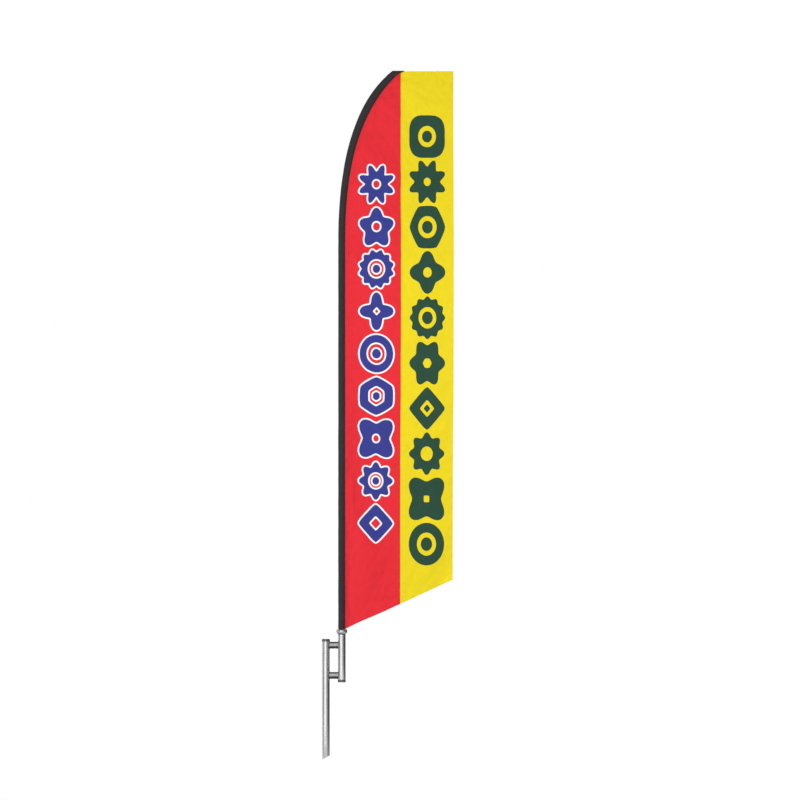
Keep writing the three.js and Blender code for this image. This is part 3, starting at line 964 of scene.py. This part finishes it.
def edgeLoop(side, inset):
    # The panel's outline, moved in by inset at its hems, as flat (x, z) points.
    pitch = panel["pitch"]

    def hemAt(x):
        return float(footAt(x)) + inset * math.hypot(1, flag["footSlope"])

    if side == "yellow":
        left, right, top = seamX - panel["overlap"], flyX - inset, flagTop - inset
        corners = [(left, hemAt(left)), (right, hemAt(right)), (right, top), (left, top)]
        if inset:
            return corners
        return [p for k in range(4) for p in evenly(corners[k], corners[(k + 1) % 4], pitch)]
    right = seamX + panel["overlap"]
    lowZ = leadLow
    for _ in range(30):
        lowX = float(leadAt(lowZ)) - panel["tuck"]
        lowZ = hemAt(lowX)
    start, end = (lowX, lowZ), (right, hemAt(right))
    if inset:
        return [start, end]
    loop = evenly(start, end, pitch)
    z = np.linspace(end[1], flagTop, 4000)
    crest = float(z[np.argmax(leadAt(z) >= seamX - 0.0006)])
    loop += evenly(end, (right, crest), pitch)
    heights = [crest]
    while heights[-1] > lowZ + pitch:
        slope = float(leadAt(heights[-1]) - leadAt(heights[-1] - 0.001)) / 0.001
        heights.append(heights[-1] - pitch / math.hypot(1, slope))
    return loop + [(min(float(leadAt(h)) - panel["tuck"], right), h) for h in heights]


def makePanel(name, side, ornaments, mats):
    pitch = panel["pitch"]
    points, edges = [], []

    def addLine(line, closed):
        first = len(points)
        points.extend(line)
        count = len(line)
        edges.extend((first + k, first + (k + 1) % count) for k in range(count if closed else count - 1))

    outline = edgeLoop(side, 0)
    addLine(outline, True)
    for inset in (panel["hem"], panel["hem"] + 0.001):
        line = edgeLoop(side, inset)
        if side == "red":
            (startX, startZ), (endX, endZ) = line
            share = np.linspace(0.004, 0.996, round((endX - startX) / pitch))
            addLine([(startX + (endX - startX) * s, startZ + (endZ - startZ) * s) for s in share], False)
        else:
            (ax, az), (bx, bz), (cx, cz), (dx, dz) = line
            path = evenly((ax + 0.001, az + 0.001 * flag["footSlope"]), (bx, bz), pitch)
            path += evenly((bx, bz), (cx, cz), pitch)
            addLine(path + evenly((cx, cz), (dx + 0.001, dz), pitch), False)
    for centre, bands in ornaments:
        for loop, _ in bands:
            addLine([tuple(p) for p in loop + centre], True)

    tree = KDTree(len(points))
    for index, (x, z) in enumerate(points):
        tree.insert((x, z, 0), index)
    tree.balance()
    # Inside, the points lie in rows of even triangles.
    (lowX, lowZ), (highX, highZ) = np.min(outline, axis=0).tolist(), np.max(outline, axis=0).tolist()
    rowCount = int((highZ - lowZ) / (pitch * 0.866)) + 1
    columnCount = int((highX - lowX) / pitch) + 2
    for j in range(rowCount):
        z = lowZ + j * pitch * 0.866
        for i in range(columnCount):
            x = lowX + (i + 0.5 * (j % 2)) * pitch
            hem, seam = sewnDistance(np.array([x]), np.array([z]), side)
            if min(hem[0], seam[0]) < pitch * 0.4 or x > highX - pitch * 0.4:
                continue
            if tree.find((x, z, 0))[2] > pitch * 0.55:
                points.append((x, z))

    vectors = [Vector((float(x), float(z))) for x, z in points]
    flatPoints, _, faces, _, _, _ = delaunay_2d_cdt(vectors, edges, [], 1, 1e-6)
    flat = np.array([(p.x, p.y) for p in flatPoints])
    faces = np.array(faces)
    middle = flat[faces].mean(axis=1)
    material = np.zeros(len(faces), int)
    for centre, bands in ornaments:
        near = np.where(np.abs(middle - centre).max(axis=1) < 0.2)[0]
        for loop, inside in bands:
            material[near[insideLoop(middle[near], centre, loop)]] = inside

    centres = onCloth(flat[:, 0], flat[:, 1], side)
    corner = centres[faces]
    cross = np.cross(corner[:, 1] - corner[:, 0], corner[:, 2] - corner[:, 0])
    normals = np.zeros_like(centres)
    for k in range(3):
        np.add.at(normals, faces[:, k], cross)
    away = unit(normals) * thicknessAt(flat[:, 0], flat[:, 1], side)[:, None] / 2
    count = len(flat)
    vertices = np.concatenate([centres + away, centres - away])

    directed = {edge: True for a, b, c in faces.tolist() for edge in ((a, b), (b, c), (c, a))}
    rim = [[b, a, a + count, b + count] for a, b in directed if (b, a) not in directed]
    allFaces = faces.tolist() + (faces[:, ::-1] + count).tolist() + rim
    piece = addMesh(name, vertices.tolist(), allFaces, flat)
    finishPiece(piece, "pole", side + "_panel", *mats)
    material = np.concatenate([material, material, np.zeros(len(rim), int)])
    piece.data.polygons.foreach_set("material_index", material)
    smoothPiece(piece, 60)
    print(name, len(allFaces), "faces")
    return piece


blueOrnaments = makeOrnaments(blueShapes, prints["blue"])
greenOrnaments = makeOrnaments(greenShapes, prints["green"])
redPanel = makePanel("redPanel", "red", blueOrnaments, ["red", "white", "blue"])
yellowPanel = makePanel("yellowPanel", "yellow", greenOrnaments, ["yellow", "green"])
print("panels made")


# The sleeve that slips over the pole

sleeve = {
    "around": 60,
    "pitch": 0.009,
    "wall": 0.0011,
    "depthLow": 0.021,
    "depthHigh": 0.014,
    "hem": 0.022,
    "gather": 0.0011,  # ripples on the inside of the bend
    "crease": 0.0009,
    "seed": 4.0,
    "girth": 0.131,
    "drawnIn": 0.86,  # how much of its depth it loses towards the seam
    "seamAt": 0.9,  # where its stitches run, as a share of the half width
}


def sleeveHalfDepth(z):
    thin = smooth(z, flag["outerEdge"]["start"] - 0.1, flag["outerEdge"]["start"] + 0.6)
    return sleeve["depthLow"] + (sleeve["depthHigh"] - sleeve["depthLow"]) * thin


def sleeveLevels():
    levels, z = [], leadLow
    while z < flagTop - 0.004:
        levels.append(z)
        slope = float(poleAt(z + 0.001) - poleAt(z - 0.001)) / 0.002
        z += sleeve["pitch"] / math.hypot(1, slope)
    hemTop = leadLow + sleeve["hem"]
    levels = [level for level in levels if abs(level - hemTop) > 0.0035] + [hemTop, hemTop + 0.001, flagTop]
    return np.array(sorted(levels))


def sleeveSection(z, around):
    # Round over the pole, then drawn in on both sides to the seam; around is 0 at the seam.
    left, right = edgeAt(flag["outerEdge"], z), leadAt(z)
    share = np.cos(around)
    x = (left + right) / 2 + (right - left) / 2 * share
    y = sleeveHalfDepth(z) * np.sin(around) * (1 - sleeve["drawnIn"] * smooth(share, 0.45, 1.0))
    return x, y


def makeSleeve():
    levels = sleeveLevels()
    count = sleeve["around"]
    around = np.linspace(0, 2 * math.pi, count, endpoint=False)
    run = alongLine(poleAt(levels), levels)
    vertices, flat = [], []
    for level, length in zip(levels, run):
        x, y = sleeveSection(level, around)
        middle = float(poleAt(level))
        bend = float(smooth(level, 2.7, 3.3))
        girth = alongLine(x, y)
        hem = 0.0005 if level <= leadLow + sleeve["hem"] + 1e-6 else 0.0
        for k in range(count):
            inner = float(smooth(math.cos(around[k]), -0.3, 0.9))
            wander = 2.4 * noise.noise(Vector((length * 4, sleeve["seed"], 0)))
            ridge = math.sin(2 * math.pi * length / 0.034 + wander + 0.8 * math.sin(around[k]))
            fold = noise.noise(Vector((girth[k] * 26, length * 7 - girth[k] * 9, sleeve["seed"])))
            fold += 0.5 * noise.noise(Vector((girth[k] * 60, length * 22, sleeve["seed"] + 5)))
            push = hem - sleeve["gather"] * bend * inner * (0.5 + 0.5 * ridge)
            push -= sleeve["crease"] * (0.1 + fold)
            away = Vector((x[k] - middle, y[k] * 1.3, 0))
            keep = 1 - float(smooth(math.cos(around[k]), 0.9, 0.99)) * 0.8
            away = away.normalized() * push * keep if away.length > 1e-6 else Vector()
            vertices.append((x[k] + away.x, y[k] + away.y, level))
            flat.append((girth[k], length))
    faces = []
    for j in range(len(levels) - 1):
        for k in range(count):
            a, b = j * count + k, j * count + (k + 1) % count
            faces.append((a, b, b + count, a + count))
    # The last strip's far corners get the full girth, so that the knit runs on across the join.
    corners = np.array(faces)
    places = np.array(flat)[corners]
    joined = (corners % count == count - 1).any(axis=1)[:, None] & (corners % count == 0)
    places[..., 0] += np.where(joined, sleeve["girth"], 0)
    piece = addMesh("flagSleeve", vertices, faces, places.reshape(-1, 2))
    applyModifier(piece, "SOLIDIFY", "wall", thickness=sleeve["wall"], offset=-1.0, use_rim=True)
    smoothPiece(piece, 55)
    return finishPiece(piece, "pole", "flag_sleeve", "black"), float(run[-1])


flagSleeve, sleeveLength = makeSleeve()
print("sleeve made, length", round(sleeveLength, 3))


# The patch over the sleeve's upper end: it lies on both faces, and its toe covers the yellow cloth's corner

pocket = {
    "flap": 0.026,
    "toe": 0.022,  # how far it runs over the yellow cloth
    "toeDrop": 0.011,  # how deep the toe is at the seam
    "lift": 0.0013,
    "leastStand": 0.0012,
    "wall": 0.0008,
    "levels": 14,
    "around": 40,
}


def pocketFace(level, sign):
    # One face of the patch at a height, from its toe round to the sleeve's outer edge.
    left, lead = float(edgeAt(flag["outerEdge"], level)), float(leadAt(level))
    toe = pocket["toe"] * (1 - (flagTop - level) / pocket["toeDrop"])
    right = max(lead + 0.0005, seamX + toe)
    x = (left + right) / 2 + (right - left) / 2 * np.cos(np.linspace(0, math.pi, pocket["around"]))
    share = np.clip((2 * x - left - lead) / (lead - left), -1, 1)
    stand = sleeveHalfDepth(level) * np.sqrt(1 - share ** 2)
    stand = stand * (1 - sleeve["drawnIn"] * smooth(share, 0.45, 1.0))
    closing = np.sqrt(1 - np.minimum(share, 0) ** 2)
    y = np.maximum(stand, pocket["leastStand"] * closing) + pocket["lift"] * closing
    x = x + pocket["lift"] * np.minimum(share, 0)
    return x, clothAt(x, np.full_like(x, level))[:, 1] + sign * y


def makePocket():
    levels = flagTop - pocket["flap"] * (1 - np.arange(pocket["levels"] + 1) / pocket["levels"])
    # Over the top the two faces close in: rise above the flag's top, and the share of the depth left
    rows = [(level, 0.0, 1.0) for level in levels]
    rows += [(flagTop, 0.001, 0.97), (flagTop, 0.0018, 0.84), (flagTop, 0.0022, 0.5),
             (flagTop, 0.0022, 0.0)]
    vertices, flat = [], []
    for level, rise, share in rows:
        front, back = pocketFace(level, -1), pocketFace(level, 1)
        middle = (front[1] + back[1]) / 2
        x = np.concatenate([front[0], back[0][-2::-1]])
        y = np.concatenate([middle + (front[1] - middle) * share,
                            (middle + (back[1] - middle) * share)[-2::-1]])
        girth = alongLine(x, y)
        vertices += [(x[k], y[k], level + rise) for k in range(len(x))]
        flat += [(girth[k], level + rise + 0.014 * (1 - share)) for k in range(len(x))]
    count = 2 * pocket["around"] - 1
    faces = [(j * count + k + 1, j * count + k, (j + 1) * count + k, (j + 1) * count + k + 1)
             for j in range(len(rows) - 1) for k in range(count - 1)]
    patch = addMesh("tipPocket", vertices, faces, flat)
    openMesh(patch)
    bpy.ops.mesh.remove_doubles(threshold=0.00002)
    bpy.ops.object.mode_set(mode="OBJECT")
    applyModifier(patch, "SOLIDIFY", "wall", thickness=pocket["wall"], offset=1.0, use_rim=True)
    smoothPiece(patch, 55)
    return finishPiece(patch, "pole", "tip_pocket", "black")


tipPocket = makePocket()
print("tip pocket made")


# Thread: short stitches laid in rows, on both faces of the cloth

thread = {
    "pitch": 0.0042,
    "length": 0.0033,
    "radius": 0.00042,
    "sides": 5,
    "fromHem": 0.003,  # between a hem's inner edge and its row
    "fromSeam": 0.0035,
    "fromEnd": 0.004,  # between the ends of the sleeve and pocket and their rows
}


def stitchRow(points, outwards):
    # Stitches centred along a line, each a small spindle half sunk in the cloth.
    run = alongLine(*points.T)
    places = np.arange(thread["pitch"] / 2, run[-1], thread["pitch"])

    def sample(values, shift=0.0):
        return np.stack([np.interp(places + shift, run, values[:, k]) for k in range(3)], axis=1)

    along = unit(sample(points, 0.001) - sample(points, -0.001))
    across = unit(np.cross(along, sample(outwards)))
    return sample(points), along, across, np.cross(across, along)


def makeStitches(name, rows, finish):
    sides, radius = thread["sides"], thread["radius"]
    vertices, faces = [], []
    for points, outwards in rows:
        for place, forward, right, up in zip(*stitchRow(points, outwards)):
            first = len(vertices)
            vertices.append(place - forward * thread["length"] / 2)
            for share in (-0.3, 0.3):
                for k in range(sides):
                    angle = 2 * math.pi * k / sides
                    turn = right * math.cos(angle) + up * math.sin(angle)
                    vertices.append(place + forward * thread["length"] * share
                                    + turn * radius + up * radius * 0.35)
            vertices.append(place + forward * thread["length"] / 2)
            for k in range(sides):
                a, b = first + 1 + k, first + 1 + (k + 1) % sides
                faces.append((first, b, a))
                faces.append((a, b, b + sides, a + sides))
                faces.append((first + 2 * sides + 1, a + sides, b + sides))
    piece = addMesh(name, np.array(vertices).tolist(), faces)
    openMesh(piece)
    closeMesh()
    piece.select_set(False)
    piece.data.shade_smooth()
    print(name, len(faces), "faces")
    return finishPiece(piece, "pole", None, finish)


def clothRow(x, z, side):
    # A line of stitches on the front of a panel and its twin on the back.
    points = onCloth(x, z, side)
    right = onCloth(x + 0.002, z, side) - onCloth(x - 0.002, z, side)
    up = onCloth(x, z + 0.002, side) - onCloth(x, z - 0.002, side)
    out = unit(np.cross(right, up))
    half = thicknessAt(x, z, side)[:, None] / 2
    return [(points + out * half, out), (points - out * half, -out)]


def makeHemStitches():
    inset = panel["hem"] - thread["fromHem"]
    lift = inset * math.hypot(1, flag["footSlope"])
    x = np.linspace(flag["innerEdge"]["x"] + 0.008, seamX - 0.002, 160)
    red = clothRow(x, footAt(x) + lift, "red")
    x = np.linspace(seamX + 0.002, flyX - inset, 160)
    yellow = clothRow(x, footAt(x) + lift, "yellow")
    z = np.linspace(float(footAt(flyX)) + 0.02, flagTop - 0.002, 900)
    yellow += clothRow(np.full_like(z, flyX - inset), z, "yellow")
    yellow += clothRow(x, np.full_like(x, flagTop - inset), "yellow")
    z = np.linspace(float(footAt(seamX)) + 0.004, flagTop - 0.010, 900)
    red += clothRow(np.full_like(z, seamX - thread["fromSeam"]), z, "red")
    yellow += clothRow(np.full_like(z, seamX + thread["fromSeam"]), z, "yellow")
    return (makeStitches("redStitches", red, "redThread"),
            makeStitches("yellowStitches", yellow, "yellowThread"))


def sidewaysRow(x, y, z, sign):
    points = np.stack([x, y, z], axis=1)
    return points, np.tile([0.0, float(sign), 0.0], (len(points), 1))


def makeSleeveStitches():
    rows = []
    seamAngle = math.acos(sleeve["seamAt"])
    levels = np.linspace(leadLow + thread["fromEnd"], flagTop - thread["fromEnd"], 1400)
    for sign in (-1, 1):
        x, y = np.array([sleeveSection(z, seamAngle * sign) for z in levels]).T
        rows.append(sidewaysRow(x, y, levels, sign))
    height = leadLow + sleeve["hem"] - thread["fromEnd"]
    x, y = sleeveSection(height, np.linspace(seamAngle, 2 * math.pi - seamAngle, 120))
    out = unit(np.stack([x - poleX, y, np.zeros_like(x)], axis=1))
    rows.append((np.stack([x, y, np.full_like(x, height)], axis=1) + out * 0.0003, out))
    height = flagTop - pocket["flap"] + thread["fromEnd"]
    for sign in (-1, 1):
        x, y = pocketFace(height, sign)
        y = y + sign * (pocket["wall"] + 0.0001)
        rows.append(sidewaysRow(x[1:-6], y[1:-6], np.full_like(x[1:-6], height), sign))
    return makeStitches("sleeveStitches", rows, "blackThread")


redStitches, yellowStitches = makeHemStitches()
sleeveStitches = makeSleeveStitches()
print("stitches made")


# Studio: a pale floor under even light, white surroundings, large softboxes on the left, weaker ones
# on the right and behind, and a bounce light under the floor for the upright metal

studio = {
    "frameWidth": 1.1627,  # width of the view over the object's height
    "shiftX": 0.081,
    "shiftZ": 0.092,
    "surround": 0.25,
    "mirrored": 0.10,  # how bright the surroundings look in the metal
    # name: turn from the front, lift, middle height, distance, width, height, brightness, seen in metal
    "boxes": {
        "key light": (-19, 0, 1.4, 4.0, 4.0, 5.0, 1.62, True),
        "upper key light": (-19, 0, 4.9, 4.0, 4.0, 2.6, 0.90, False),
        "side light": (-104, 0, 1.7, 4.0, 5.0, 6.0, 0.75, True),
        "right light": (30, 0, 1.7, 4.0, 2.6, 6.0, 0.66, True),
        "rear side light": (-152, 0, 1.7, 4.0, 2.6, 6.0, 0.80, True),
        "rear light": (170, 48, 1.7, 4.5, 3.5, 3.5, 3.2, False),
        "floor bounce": (0, -90, 0, 1.45, 16.0, 16.0, 0.5, True),
    },
    # The floor shows in the upright metal alone, so that the rungs keep their dark undersides.
    "upright": ["stakeTube", "socketTube", "driveCap", "socketEndCap", "bearingCollar", "baseSection"],
    "ceiling": 1.7,
    "ceilingSpread": 45,
}


def softbox(name, turn, lift, middle, distance, width, height, brightness, inMetal):
    light = bpy.data.lights.new(name, "AREA")
    light.shape = "RECTANGLE"
    light.size, light.size_y = width, height
    light.energy = math.pi * width * height * brightness
    box = bpy.data.objects.new(name, light)
    turn, lift = math.radians(turn), math.radians(lift)
    box.location = (poleX + distance * math.sin(turn) * math.cos(lift),
                    -distance * math.cos(turn) * math.cos(lift), middle + distance * math.sin(lift))
    box.rotation_euler = (math.pi / 2 - lift, 0, turn)
    box.visible_camera = False
    box.visible_glossy = inMetal
    bpy.context.scene.collection.objects.link(box)
    return box


def makeFloor():
    bpy.ops.object.select_all(action="DESELECT")
    bpy.ops.mesh.primitive_plane_add(size=120, location=(0.4, 0, cadLow.z))
    floor = bpy.context.object
    floor.name = "studioFloor"
    material, tree, shader = newMaterial("floor paper", (0.82, 0.82, 0.82), 0.9)
    speck = noiseNode(tree, addNode(tree, "TexCoord").outputs["Object"], 6.0, 4.0)
    blendColours(tree, shader, speck, (0.82, 0.82, 0.82), (0.86, 0.86, 0.86))
    floor.data.materials.append(material)
    floor.visible_glossy = False
    floor.visible_shadow = False  # the bounce light stands under it
    return floor


def makeStudio():
    scene = bpy.context.scene
    scene.view_settings.view_transform = "Standard"
    floor = makeFloor()

    world = bpy.data.worlds.new("studio")
    scene.world = world
    world.use_nodes = True
    tree = world.node_tree
    backdrop = tree.nodes["Background"]
    path = addNode(tree, "LightPath")
    glossy = path.outputs["Is Glossy Ray"]
    level = mapRange(tree, glossy, 0, 1, studio["surround"], studio["mirrored"])
    white = mathNode(tree, "MAXIMUM", level, path.outputs["Is Camera Ray"])
    tree.links.new(white, backdrop.inputs["Strength"])
    backdrop.inputs["Color"].default_value = (1, 1, 1, 1)
    world.cycles.sampling_method = "NONE"

    # The softboxes light the flag only; the floor is lit evenly from the ceiling.
    offFloor = bpy.data.collections.new("off the floor")
    offFloor.objects.link(floor)
    offFloor.collection_objects[0].light_linking.link_state = "EXCLUDE"
    upright = bpy.data.collections.new("upright metal")
    for name in studio["upright"]:
        upright.objects.link(bpy.data.objects[name])
    for name, settings in studio["boxes"].items():
        lit = upright if name == "floor bounce" else offFloor
        softbox(name, *settings).light_linking.receiver_collection = lit
    ceiling = bpy.data.lights.new("ceiling light", "SUN")
    ceiling.energy = studio["ceiling"]
    ceiling.angle = math.radians(studio["ceilingSpread"])
    ceiling = bpy.data.objects.new("ceiling light", ceiling)
    ceiling.visible_glossy = False
    scene.collection.objects.link(ceiling)

    camera = bpy.data.cameras.new("front view")
    camera.type = "ORTHO"
    camera.ortho_scale = studio["frameWidth"] * (cadHigh.z - cadLow.z)
    camera.clip_end = 60
    view = bpy.data.objects.new("front view", camera)
    centre = (cadLow + cadHigh) / 2
    view.location = (centre.x + studio["shiftX"], -9, centre.z + studio["shiftZ"])
    view.rotation_euler = (math.pi / 2, 0, 0)
    scene.collection.objects.link(view)
    scene.camera = view


makeStudio()
print("studio made")
